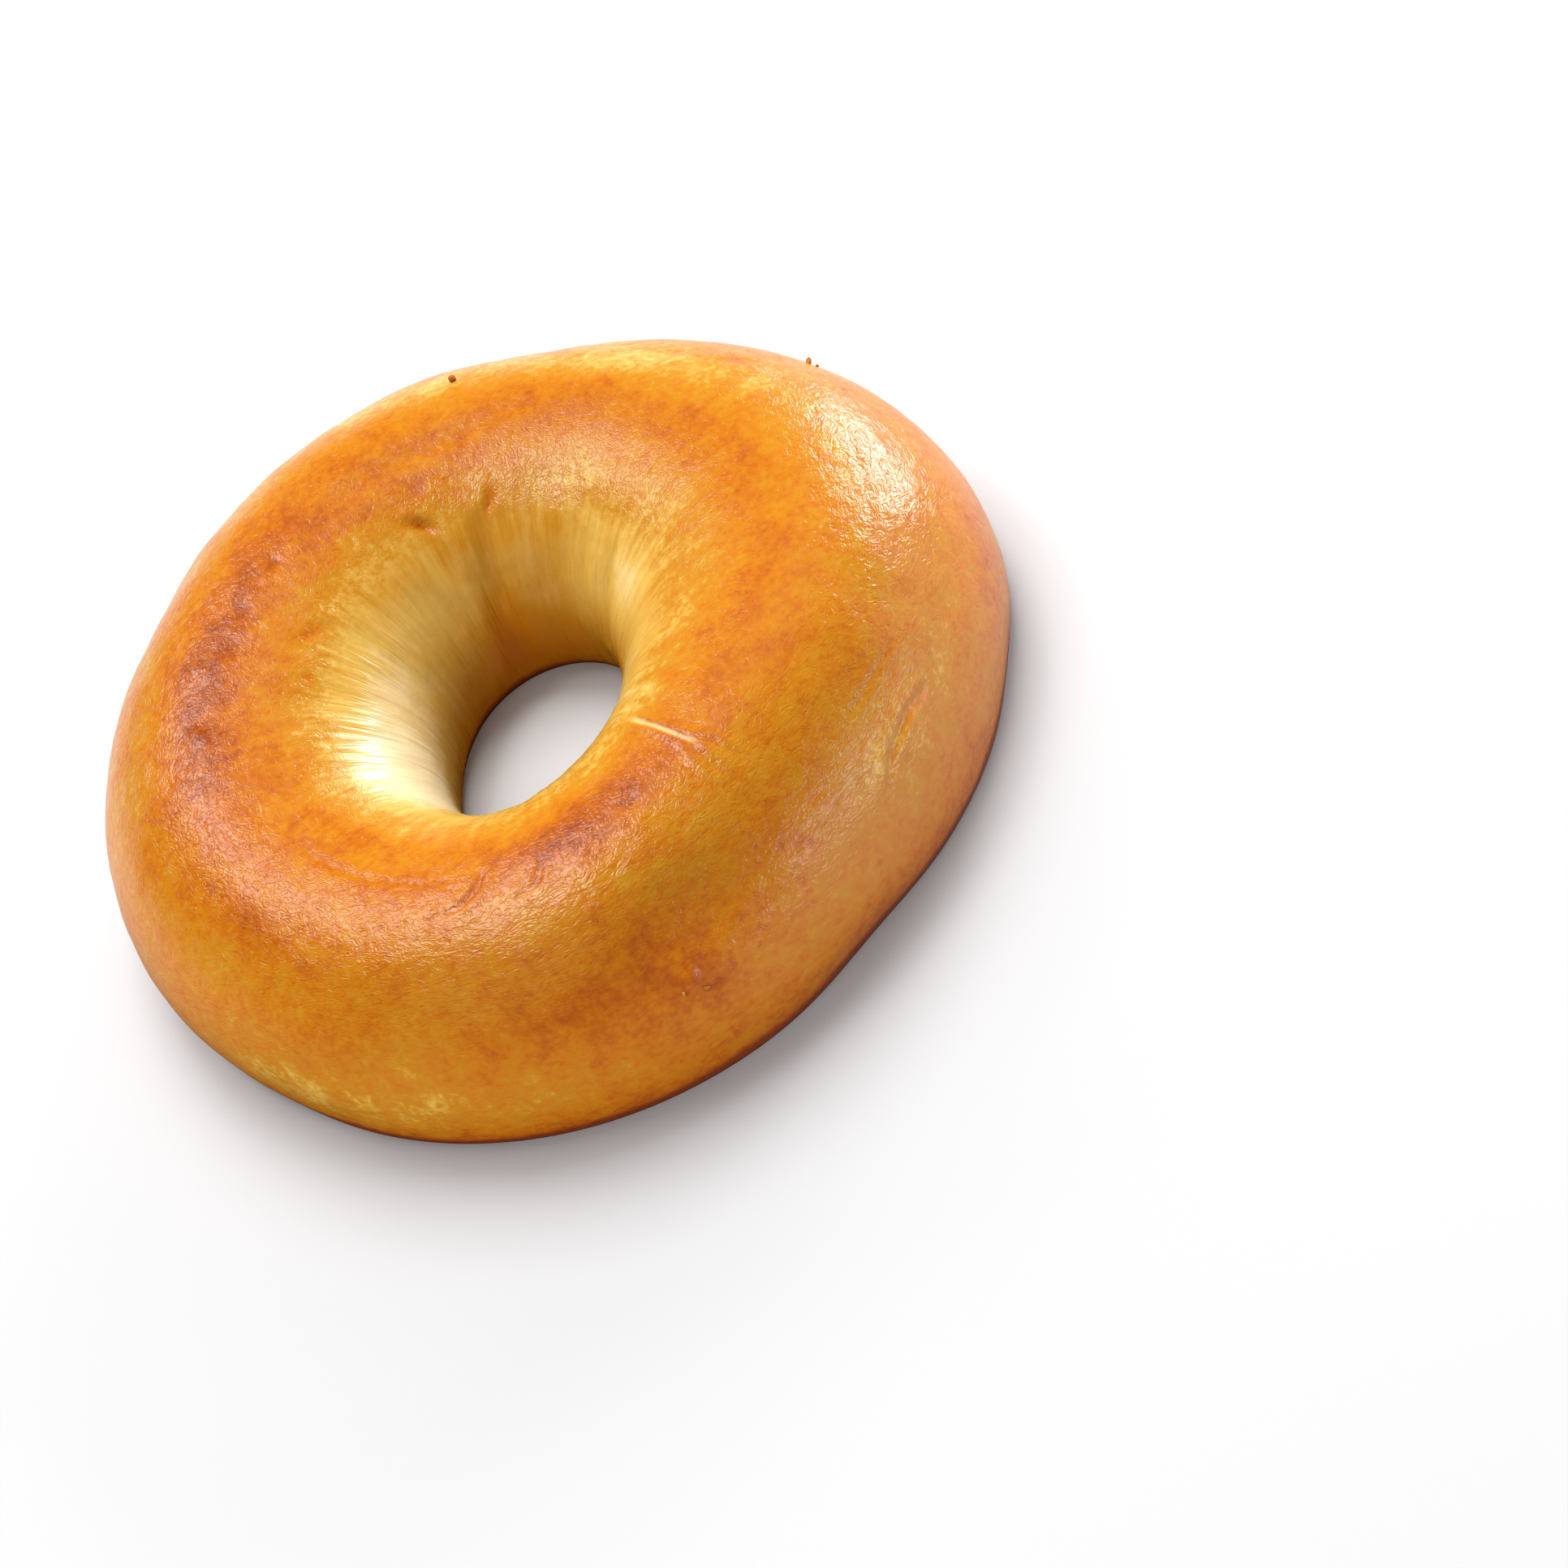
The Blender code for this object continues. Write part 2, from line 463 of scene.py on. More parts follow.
def ring_grid(tree, steps, rows):
    """A grid that wraps both ways, its map, its angle round the ring in radians, and its row."""
    counts = {"Vertices_X": steps + 1, "Vertices_Y": rows + 1}
    grid = add_node(tree, "GeometryNodeMeshGrid", Size_X=1.0, Size_Y=1.0, **counts)
    position = read_position(tree)
    x, y, _ = separate(tree, position)
    return grid.outputs["Mesh"], grid.outputs["UV Map"], (x + 0.5) * tau, (y + 0.5) * rows


def store_ring_marks(tree, geometry, map_socket, around, **values):
    """Keeps what Python and the materials need: the angle as two numbers, the map, and other values."""
    geometry = store(tree, geometry, "raw_map", map_socket, "CORNER", "FLOAT2")
    geometry = store(tree, geometry, "east", around.cos())
    geometry = store(tree, geometry, "north", around.sin())
    for name, value in values.items():
        geometry = store(tree, geometry, name, value)
    return geometry


def build_crust_tree(settings, material):
    """The crust as one closed skin: outside, round the cut's rim, and back across a shallow recess."""
    tree, sizes = start_tree("Bagel crust", "GeometryNodeTree", settings)
    grid, map_socket, around, row = ring_grid(tree, sizes["Steps Around"], sizes["Skin Rows"] + UNDER_ROWS)

    # Outside, from the foot of the outer wall up over the crest and down the hole's wall.
    start, end = section_ends(sizes)
    skin = (row / sizes["Skin Rows"]).clipped()
    crowded = skin * (skin * ROW_CROWDING + (1.0 - ROW_CROWDING))
    section = start + (end - start) * crowded
    share, height = section_profile(sizes, around, section)

    # Underneath, back from the hole's rim to the outer one: two flat rims, and a recess between them.
    first_share, _ = section_profile(sizes, around, start)
    last_share, _ = section_profile(sizes, around, end)
    rim = sizes["Rim Width"] / (sizes["Outer Radius"] - sizes["Hole Radius"])
    under = (row - sizes["Skin Rows"] - 1.0) / (UNDER_ROWS - 2.0)
    sweep = 0.5 - (under.clipped() * pi).cos() * 0.5
    under_share = last_share + rim + (first_share - last_share - rim * 2.0) * sweep
    under_height = under.over(0.01) * (1.0 - under.over(0.99)) * sizes["Recess Height"]
    closing = under.over(1.05)
    under_share = under_share + (first_share - under_share) * closing

    below = (row - sizes["Skin Rows"]).over(0.5)
    far_half = under.over(0.5)
    share = share + (under_share - share) * below
    height = height + (under_height - height) * below
    section = section + (start - section) * below * far_half

    pressed = flattening(around, section)
    inwards = -(pressed * section.cos())
    down = -(pressed * section.sin().math("MAXIMUM", 0.0))
    place = ring_place(tree, sizes, around, share, height)
    offset = combine(tree, inwards * around.cos(), inwards * around.sin(), down)
    fade = height.ramp(0.0, sizes["Rim Width"] * 1.5) * (1.0 - below)

    mesh = store_ring_marks(tree, grid, map_socket, around, section=section * (180.0 / pi), skin=fade)
    mesh = close_seams(tree, set_position(tree, mesh, Position=place, Offset=offset))
    mesh = set_position(tree, mesh, Offset=along_normal(tree, crust_relief(tree, sizes)))
    finish_tree(tree, mesh, material)
    return tree


def build_crumb_tree(settings, material):
    """The toasted cut face, facing down, as a slab that fills the crust's recess."""
    tree, sizes = start_tree("Bagel crumb", "GeometryNodeTree", settings)
    grid, map_socket, around, row = ring_grid(tree, sizes["Steps Around"], sizes["Face Rows"] + BACK_ROWS)
    start, end = section_ends(sizes)
    outer, _ = section_profile(sizes, around, start)
    inner, _ = section_profile(sizes, around, end)

    # The face goes from the hole's side to the outer one, and the flat back returns above it.
    face = (row / sizes["Face Rows"]).clipped()
    back = ((row - sizes["Face Rows"] - 1.0) / (BACK_ROWS - 2.0)).clipped()
    closing = (row - sizes["Face Rows"]).over(BACK_ROWS - 0.5)
    behind = (row - sizes["Face Rows"]).over(0.5) * (1.0 - closing)
    tuck = (sizes["Rim Width"] - CRUMB_OVERLAP) / (sizes["Outer Radius"] - sizes["Hole Radius"])
    tuck = tuck * (1.0 + behind * 2.0)
    sweep = (face - back * behind) * (1.0 - closing)
    share = inner + tuck + (outer - inner - tuck * 2.0) * sweep

    flat = ring_place(tree, sizes, around, share, 0.0)
    edge = (face * (1.0 - face) * 4.0).ramp(0.0, 0.12)
    pores = 0.0
    for across, portion, depth in PORES:
        pores = pits(tree, flat, across, portion) * depth + pores
    rough = noise(tree, flat, 0.7 * MM, detail=3.0, roughness=0.6) * sizes["Crumb Roughness"]
    waves = noise(tree, flat, 3.4 * MM, detail=2.0) * sizes["Crumb Roughness"] * 1.6
    relief = (pores + rough + waves + 0.25 * MM).clipped(0.0, 2.7 * MM) * edge
    height = (0.2 * MM + relief) * (1.0 - behind) + behind * (sizes["Recess Height"] - 0.4 * MM)

    pressed = flattening(around, start) * start.cos() * sweep
    place = ring_place(tree, sizes, around, share, height)
    offset = combine(tree, -(pressed * around.cos()), -(pressed * around.sin()), 0.0)
    marks = {"pore": pores / MM, "across": share, "worn": rough / MM + waves / MM}
    mesh = store_ring_marks(tree, grid, map_socket, around, **marks)
    mesh = close_seams(tree, set_position(tree, mesh, Position=place, Offset=offset))
    finish_tree(tree, mesh, material)
    return tree


def pits(tree, vector, across, portion):
    """Round pores about this far across in a portion of the cells: 0 outside, and up to 1 deep inside."""
    flat = {"voronoi_dimensions": "2D"}
    node = add_node(tree, "ShaderNodeTexVoronoi", flat, Vector=vector, Scale=1.0 / across)
    distance = Value(tree, node.outputs["Distance"])
    drawn = separate(tree, node.outputs["Color"])[0]
    size = (drawn - (1.0 - portion)) * (0.3 / portion) + 0.12
    bowl = (1.0 - distance / size.clipped(0.05, 1.0)).clipped() ** 0.6
    return bowl * drawn.over(1.0 - portion)


def build_loose_tree(settings, material):
    """A few loose crumbs: rough grains, one on each point that it's given."""
    tree, sizes = start_tree("Loose crumbs", "GeometryNodeTree", {"Geometry": None, **settings})
    grain = add_node(tree, "GeometryNodeMeshIcoSphere", Radius=1.0, Subdivisions=4).outputs[0]
    turn = add_node(tree, "FunctionNodeRandomValue", {"data_type": "FLOAT_VECTOR"}, Seed=sizes["Seed"])
    turn.inputs["Max"].default_value = (tau, tau, tau)
    size = read_value(tree, "size")
    scale = combine(tree, size, size * 0.7, size * 0.55)
    copies = add_node(
        tree,
        "GeometryNodeInstanceOnPoints",
        Points=sizes["Geometry"].socket,
        Instance=grain,
        Rotation=turn.outputs[0],
        Scale=scale,
    )
    real = add_node(tree, "GeometryNodeRealizeInstances", Geometry=copies.outputs[0]).outputs[0]
    position = read_position(tree)
    rough = noise(tree, position, sizes["Grain"], detail=3.0, roughness=0.7) * sizes["Grain"] * 0.6
    finish_tree(tree, set_position(tree, real, Offset=along_normal(tree, rough)), material)
    return tree


def read_value(tree, name):
    node = add_node(tree, "GeometryNodeInputNamedAttribute", {"data_type": "FLOAT"}, Name=name)
    return Value(tree, node.outputs[0])


def crust_relief(tree, sizes):
    """The unevenness of the baked skin: soft lumps, a fine peel, and the folds of the hole's wall."""
    position = read_position(tree)
    section = read_value(tree, "section")
    skin = read_value(tree, "skin")
    lumps = noise(tree, position, sizes["Lump Size"], detail=1.0)
    peel = noise(tree, position, sizes["Peel Size"], detail=2.0, distortion=0.6)
    stretched = combine(tree, read_value(tree, "east"), read_value(tree, "north"), section * FOLD_PITCH)
    folds = noise(tree, stretched, FOLD_WIDTH, detail=2.0)
    wall = section.ramp(108.0, 140.0)
    height = lumps * sizes["Lump Height"] + peel * sizes["Peel Height"]
    height = height + folds * wall * sizes["Stretch Height"]
    return height * skin


# --------------------------------------
# Marks on the crust


def read_floats(mesh, name):
    values = np.empty(len(mesh.vertices), np.float32)
    mesh.attributes[name].data.foreach_get("value", values)
    return values.astype(float)


def write_floats(mesh, name, values):
    layer = mesh.attributes.get(name) or mesh.attributes.new(name, "FLOAT", "POINT")
    layer.data.foreach_set("value", np.asarray(values, np.float32))


def read_vectors(items, name):
    vectors = np.empty(len(items) * 3, np.float32)
    items.foreach_get(name, vectors)
    return vectors.reshape(-1, 3).astype(float)


def read_points(mesh):
    return read_vectors(mesh.vertices, "co")


def read_normals(mesh):
    return read_vectors(mesh.vertex_normals, "vector")


def write_points(mesh, points):
    mesh.vertices.foreach_set("co", np.asarray(points, np.float32).ravel())
    mesh.update()


def pack_map(mesh):
    """Makes the ring's long map a square one: cuts it into strips and lays each in a cell of its own."""
    corners = len(mesh.loops)
    raw = np.empty(corners * 2, np.float32)
    mesh.attributes["raw_map"].data.foreach_get("vector", raw)
    raw = raw.reshape(-1, 2).astype(float)
    starts = np.empty(len(mesh.polygons), np.int32)
    totals = np.empty(len(mesh.polygons), np.int32)
    mesh.polygons.foreach_get("loop_start", starts)
    mesh.polygons.foreach_get("loop_total", totals)
    face_of = np.repeat(np.arange(len(starts)), totals)
    middle = np.bincount(face_of, raw[:, 0]) / totals
    strip = np.floor(middle * MAP_STRIPS).astype(int).clip(0, MAP_STRIPS - 1)[face_of]
    columns = int(round(MAP_STRIPS**0.5))
    inside = 1.0 - 2.0 * MAP_MARGIN
    u = (strip % columns + MAP_MARGIN + (raw[:, 0] * MAP_STRIPS - strip) * inside) / columns
    v = (strip // columns + MAP_MARGIN + raw[:, 1] * inside) / columns
    mesh.attributes.remove(mesh.attributes["raw_map"])
    layer = mesh.uv_layers.new(name="OFBake")
    layer.data.foreach_set("uv", np.stack([u, v], axis=1).astype(np.float32).ravel())
    mesh.uv_layers.active = layer


class Ground:
    """The crust's vertices with the means to measure from a place on it, in millimetres."""

    def __init__(self, mesh):
        self.around = np.degrees(np.arctan2(read_floats(mesh, "north"), read_floats(mesh, "east"))) % 360.0
        self.section = read_floats(mesh, "section")
        points = read_points(mesh)
        self.radius = np.hypot(points[:, 0], points[:, 1]) / MM

    def turned(self, at):
        return (self.around - at + 180.0) % 360.0 - 180.0

    def nearest(self, around, section):
        """The vertex nearest to a place."""
        return int(np.argmin(np.abs(self.turned(around)) + np.abs(self.section - section)))

    def radius_at(self, around, section):
        """How far the skin lies from the ring's axis near this place."""
        return self.radius[self.nearest(around, section)]

    def offsets(self, around, section):
        """How far each vertex lies from a place: round the ring, and over the section."""
        radius = self.radius_at(around, section)
        return np.radians(self.turned(around)) * radius, (self.section - section) * SECTION_MM

    def distance_to_path(self, places):
        """How far each vertex lies from a path through places, and how far along it, from 0 to 1."""
        nearest = np.full(len(self.around), 1e9)
        along = np.zeros(len(self.around))
        for index in range(len(places) - 1):
            x, y = self.offsets(*places[index])
            radius = self.radius_at(*places[index])
            end_x = radians(places[index + 1][0] - places[index][0]) * radius
            end_y = (places[index + 1][1] - places[index][1]) * SECTION_MM
            share = ((x * end_x + y * end_y) / (end_x**2 + end_y**2)).clip(0.0, 1.0)
            distance = np.hypot(x - share * end_x, y - share * end_y)
            closer = distance < nearest
            nearest = np.where(closer, distance, nearest)
            along = np.where(closer, (index + share) / (len(places) - 1), along)
        return nearest, along


def bell(values):
    return np.exp(-(values**2))


def press_marks(mesh):
    """Presses the creases, pits, blisters and the split into the crust, and notes how brown it is, together
    with the painted light and shade that some patches, the creases and the pits add.
    """
    ground = Ground(mesh)
    height = np.zeros(len(mesh.vertices))
    browning = np.interp(ground.section, *zip(*BROWNING_OVER_SECTION))
    for around, section, wide, tall, browner in PATCHES:
        browning += browner * bell(ground.turned(around) / wide) * bell((ground.section - section) / tall)
    for around, section, length, width, turn, rise, browner in SPOTS:
        x, y = ground.offsets(around, section)
        u = (x * cos(radians(turn)) + y * sin(radians(turn))) / length
        v = (y * cos(radians(turn)) - x * sin(radians(turn))) / width
        mark = bell(np.hypot(u, v))
        height += rise * mark
        # In the pits this browning is partly painted shade in the hollow; on the blisters it is the crust's
        # own colour.
        browning += browner * mark
    for places, width, depth, lips, browner in CREASES:
        distance, along = ground.distance_to_path(places)
        ends = np.sin(pi * (0.08 + 0.84 * along)) ** 0.6
        height -= depth * bell(distance / width) * ends
        height += lips * bell((distance - 1.9 * width) / width) * ends
        # A crease's browning is partly the crust's own colour and partly painted shade in its groove.
        browning += browner * bell(distance / (1.3 * width)) * ends
    places, width, depth = SPLIT
    distance, along = ground.distance_to_path(places)
    ends = np.sin(pi * (0.05 + 0.9 * along)) ** 0.5
    split = bell((distance / width) ** 2) * ends
    height -= depth * split - 1.4 * depth * bell((distance - 2.0 * width) / width) * ends
    points = read_points(mesh) + read_normals(mesh) * (height * MM * read_floats(mesh, "skin"))[:, None]
    write_points(mesh, points)
    write_floats(mesh, "browning", browning)
    write_floats(mesh, "split", split)


def centre_on_frame(mesh, middle):
    """Moves a mesh made round the ring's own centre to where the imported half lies."""
    shift = np.array([HALF_MIDDLE.x - middle[0], HALF_MIDDLE.y - middle[1], 0.0])
    write_points(mesh, read_points(mesh) + shift)


# --------------------------------------
# Colours and shared shader effects


def paint(red, green, blue):
    """A linear colour from the usual 0 to 255 values."""
    shares = [level / 255.0 for level in (red, green, blue)]
    linear = [s / 12.92 if s <= 0.04045 else ((s + 0.055) / 1.055) ** 2.4 for s in shares]
    return (*linear, 1.0)


def colour_ramp(tree, value, colours, **stops):
    """A colour that goes through the named ones, each at its stop."""
    node = add_node(tree, "ShaderNodeValToRGB", Fac=value)
    elements = node.color_ramp.elements
    for position in list(stops.values())[2:]:
        elements.new(position)
    for element, (name, position) in zip(elements, stops.items()):
        element.position = position
        element.color = colours[name]
    return node.outputs[0]


def mix_colours(tree, share, first, second, blend="MIX"):
    node = add_node(tree, "ShaderNodeMix", {"data_type": "RGBA", "blend_type": blend})
    plug(tree, share, node.inputs[0])
    plug(tree, first, node.inputs[6])
    plug(tree, second, node.inputs[7])
    return node.outputs[2]


def attribute(tree, name):
    return Value(tree, add_node(tree, "ShaderNodeAttribute", {"attribute_name": name}).outputs["Fac"])


def object_coordinates(tree):
    return tree.nodes.new("ShaderNodeTexCoord").outputs["Object"]


def place_group(tree, group, **inputs):
    """A copy of a shared effect in a material, with its own values."""
    node = add_node(tree, "ShaderNodeGroup", {"node_tree": group}, **inputs)
    return {socket.name: Value(tree, socket) for socket in node.outputs}


def build_mottling_group():
    """Uneven baking: blotches, patches and small flecks, about 0."""
    grains = {"Vector": Vector(), "Blotch": 11.0 * MM, "Patch": 3.2 * MM, "Fleck": 0.9 * MM}
    tree, sizes = start_tree("Uneven baking", "ShaderNodeTree", grains)
    vector = sizes["Vector"].socket
    blotch = noise(tree, vector, sizes["Blotch"], detail=2.0)
    patch = noise(tree, vector, sizes["Patch"], detail=4.0, roughness=0.6, distortion=0.4)
    fleck = noise(tree, vector, sizes["Fleck"], detail=3.0, roughness=0.6)
    add_outputs(tree, Blotch=blotch, Patch=patch, Fleck=fleck)
    return tree


def build_wrinkle_group():
    """The skin wrinkles of boiled and baked dough: short winding ridges, as a height of up to about 1."""
    inputs = {"Vector": Vector(), "Width": FINE_WRINKLE, "Swirl": 1.5}
    tree, sizes = start_tree("Dough wrinkles", "ShaderNodeTree", inputs)
    vector = sizes["Vector"].socket
    width = sizes["Width"]
    swirl = sizes["Swirl"]
    winding = noise(tree, vector, width * 2.2, detail=1.5, roughness=0.45, distortion=swirl)
    fine = noise(tree, vector, width, detail=2.0, distortion=swirl * 0.6)
    ridges = (1.0 - abs(winding) * 5.0).clipped(-0.5, 1.0)
    add_outputs(tree, Height=ridges * 0.6 + fine * 0.9)
    return tree


def start_material(name):
    material = bpy.data.materials.new(name)
    material.use_nodes = True
    tree = material.node_tree
    return material, tree, tree.nodes["Principled BSDF"]


def bumped(tree, height, depth):
    return add_node(tree, "ShaderNodeBump", Height=height, Distance=depth, Strength=1.0).outputs[0]


def make_crust_material(colours, effects):
    """Glossy baked crust: pale in the hole, brown over the crest, scorched along the cut."""
    material, tree, shader = start_material("baked crust")
    place = object_coordinates(tree)
    section = attribute(tree, "section")
    browning = attribute(tree, "browning")
    split = attribute(tree, "split")
    mottling = place_group(tree, effects["mottling"], Vector=place)

    # Scorching along the cut's rim, ragged upwards.
    height = separate(tree, place)[2]
    ragged = height + mottling["Patch"] * (1.6 * MM) + mottling["Blotch"] * (2.0 * MM)
    rim = ragged.ramp(0.2 * MM, 2.2 * MM, 1.0, 0.0)

    # Wrinkles run with the skin: short and winding over the crown, and long and thin down the hole's wall.
    # Between the two, strands make the edge of the crown's brown a ragged fringe.
    east = attribute(tree, "east")
    north = attribute(tree, "north")
    wall = section.ramp(118.0, 138.0)
    fringe = section.ramp(96.0, 114.0) - section.ramp(122.0, 146.0)
    on_crown = combine(tree, east * WRINKLE_RADIUS, north * WRINKLE_RADIUS, section * (SECTION_MM * MM))
    on_wall = combine(tree, east, north, section * STREAK_PITCH)
    fine = place_group(tree, effects["wrinkles"], Vector=on_crown, Width=FINE_WRINKLE, Swirl=1.5)
    broad = place_group(tree, effects["wrinkles"], Vector=on_crown, Width=BROAD_WRINKLE, Swirl=1.1)
    streaks = place_group(tree, effects["wrinkles"], Vector=on_wall, Width=STREAK_WIDTH, Swirl=0.5)
    strands = noise(tree, on_wall, STRAND_WIDTH, detail=3.0, roughness=0.6)
    crown_height = fine["Height"] + broad["Height"]
    wrinkles = crown_height + (streaks["Height"] * 1.1 - crown_height) * wall

    crown = 1.0 - wall
    tone = browning + strands * (wall * 0.13 + fringe * 0.35) + mottling["Blotch"] * 0.3
    tone = tone + mottling["Patch"] * (0.10 + crown * 0.42) + mottling["Fleck"] * (0.06 + crown * 0.38)
    # The fine wrinkles' valleys are made browner and their ridges paler: painted shade.
    tone = tone - fine["Height"] * (0.02 + crown * 0.06) + rim * 0.45
    stops = {"dough": 0.02, "cream": 0.20, "golden": 0.40, "amber": 0.58, "brown": 0.74, "scorched": 1.0}
    baked = colour_ramp(tree, tone.clipped(), colours, **stops)
    # The outer side is multiplied paler: partly its own paler crust, partly painted light.
    baked = mix_colours(tree, section.ramp(62.0, 14.0), baked, PALE_SIDE_AND_PAINTED_LIGHT, "MULTIPLY")
    roughness = 0.21 + mottling["Patch"] * 0.20 + rim * 0.3 + split * 0.25
    fill(
        tree,
        shader,
        Base_Color=mix_colours(tree, split.ramp(0.1, 1.0) * 0.6, baked, colours["torn"]),
        Normal=bumped(tree, wrinkles, WRINKLE_DEPTH),
        Roughness=roughness.clipped(0.15, 0.9),
        Specular_IOR_Level=0.6,
        Subsurface_Weight=0.10,
        Subsurface_Radius=(1.0, 0.5, 0.2),
        Subsurface_Scale=1.2 * MM,
    )
    return material


def make_crumb_material(colours, effects):
    """Dry toasted crumb: pale and fibrous, orange where it stands proud, and a darker olive-yellow in its
    pores, which is painted shade.
    """
    material, tree, shader = start_material("toasted crumb")
    place = object_coordinates(tree)
    grains = {"Blotch": 12.0 * MM, "Patch": 2.6 * MM, "Fleck": 0.6 * MM}
    mottling = place_group(tree, effects["mottling"], Vector=place, **grains)
    pore = attribute(tree, "pore")
    edge = abs(attribute(tree, "across") - 0.5).ramp(0.34, 0.5)
    tone = 0.44 - attribute(tree, "worn") * 0.9 - pore * 0.15 + edge * 0.25
    tone = tone + mottling["Blotch"] * 0.7 + mottling["Patch"] * 0.6 + mottling["Fleck"] * 0.5
    baked = colour_ramp(tree, tone.clipped(), colours, crumb=0.15, toast=0.42, crisp=0.70, brown=1.0)
    fibres = place_group(tree, effects["wrinkles"], Vector=place, Width=FINE_WRINKLE, Swirl=2.2)["Height"]
    fill(
        tree,
        shader,
        # Painted shade: the pores are mixed towards the darker pore colour.
        Base_Color=mix_colours(tree, pore.ramp(0.1, 1.2) * 0.6, baked, colours["pore"]),
        Normal=bumped(tree, fibres, FIBRE_DEPTH),
        Roughness=0.72,
        Specular_IOR_Level=0.3,
        Subsurface_Weight=0.10,
        Subsurface_Radius=(1.0, 0.6, 0.3),
        Subsurface_Scale=1.0 * MM,
    )
    return material


# --------------------------------------
# The studio

# Softboxes: azimuth and elevation as seen from the half, distance, width, height, brightness, whether they
# light the scene, and whether the crust mirrors them.
SOFTBOXES = (
    (43, 16, 0.9, 0.46, 0.26, 13.5, True, True),
    (6, 16, 0.9, 0.46, 0.40, 1.1, True, True),
    (123, 48, 0.9, 0.22, 0.32, 6.6, True, True),
    (146, 68, 0.9, 0.26, 0.26, 9, True, True),
    (-38, 4, 0.9, 0.85, 0.13, 5.6, False, True),
    (-130, 35, 0.9, 0.50, 0.50, 3, True, False),
    (75, 60, 0.9, 0.50, 0.50, 12, True, False),
    (90, 20, 1.2, 2.40, 0.60, 2.5, True, False),
)
SKY_BRIGHTNESS = 0.5
FLOOR_SIZE = 20.0
FLOOR_COLOUR = paint(186, 186, 187)
FLOOR_GAP = 0.05 * MM  # under the cut, so that the two never share a plane
BACKWARDS = (0.643, 0.766)  # from the front left to the back right
SENSOR_WIDTH = 36.0  # in millimetres, as the lens is


def make_floor():
    """A pale floor, which the crust mirrors most from behind and hardly at all from the front left: in
    reflections only, the floor is painted dark there and near the hole, as painted shade.
    """
    bpy.ops.mesh.primitive_plane_add(size=FLOOR_SIZE, location=(0.0, 0.0, HALF_LOW.z - FLOOR_GAP))
    floor = bpy.context.object
    floor.name = "floor"
    material, tree, shader = start_material("pale floor")
    x, y, _ = separate(tree, object_coordinates(tree))
    radius = (x * x + y * y) ** 0.5
    # Painted shade in reflections: the share of the floor's colour that glossy rays see, falling towards the
    # front left and near the hole.
    bright = ((x * BACKWARDS[0] + y * BACKWARDS[1]) / radius).ramp(-1.0, -0.2, 0.05, 0.75)
    bright = bright * radius.ramp(10.0 * MM, 45.0 * MM)
    mirrored = Value(tree, tree.nodes.new("ShaderNodeLightPath").outputs["Is Glossy Ray"])
    colour = mix_colours(tree, mirrored * (1.0 - bright), FLOOR_COLOUR, (0.0, 0.0, 0.0, 1.0))
    fill(tree, shader, Base_Color=colour, Specular_IOR_Level=0.0)
    floor.data.materials.append(material)


def make_lights():
    """Softboxes for the gloss, and an even sky that lights but isn't mirrored in the crust."""
    world = bpy.data.worlds.new("studio")
    world.use_nodes = True
    sky = world.node_tree.nodes["Background"]
    sky.inputs["Color"].default_value = (1.0, 1.0, 1.0, 1.0)
    sky.inputs["Strength"].default_value = SKY_BRIGHTNESS
    bpy.context.scene.world = world
    world.cycles_visibility.glossy = False
    for index, box in enumerate(SOFTBOXES):
        azimuth, elevation, distance, width, height, brightness, lit, mirrored = box
        data = bpy.data.lights.new(f"softbox_{index + 1}", "AREA")
        data.shape = "RECTANGLE"
        data.size = width
        data.size_y = height
        data.energy = brightness * width * height * pi
        lamp = bpy.data.objects.new(data.name, data)
        turn = radians(azimuth)
        rise = radians(elevation)
        towards = Vector((cos(turn) * cos(rise), sin(turn) * cos(rise), sin(rise)))
        lamp.location = HALF_MIDDLE + towards * distance
        lamp.rotation_euler = towards.to_track_quat("Z", "Y").to_euler()
        lamp.visible_camera = False
        lamp.visible_diffuse = lit
        lamp.visible_glossy = mirrored
        bpy.context.scene.collection.objects.link(lamp)


def make_camera(scene, studio):
    data = bpy.data.cameras.new("camera")
    data.lens = studio.lens
    data.sensor_width = SENSOR_WIDTH
    data.clip_start = 0.01
    camera = bpy.data.objects.new("camera", data)
    target = Vector((HALF_MIDDLE.x, HALF_MIDDLE.y, HALF_LOW.z)) + Vector(studio.aim)
    back = Vector((0.0, -cos(studio.elevation), sin(studio.elevation)))
    turn = Matrix.Rotation(pi / 2.0 - studio.elevation, 4, "X") @ Matrix.Rotation(studio.roll, 4, "Z")
    camera.matrix_world = Matrix.Translation(target + back * studio.distance) @ turn
    scene.collection.objects.link(camera)
    scene.camera = camera
    scene.view_settings.view_transform = "Standard"


# --------------------------------------
# Settings


def length(name, description, default):
    return bpy.props.FloatProperty(name=name, description=description, default=default, unit="LENGTH")


def angle(name, description, default):
    return bpy.props.FloatProperty(name=name, description=description, default=default, unit="ROTATION")


def shift(name, description, default):
    return bpy.props.FloatVectorProperty(
        name=name, description=description, default=default, subtype="TRANSLATION"
    )


def colour(name, description, default):
    return bpy.props.FloatVectorProperty(
        name=name, description=description, default=default, size=4, subtype="COLOR"
    )


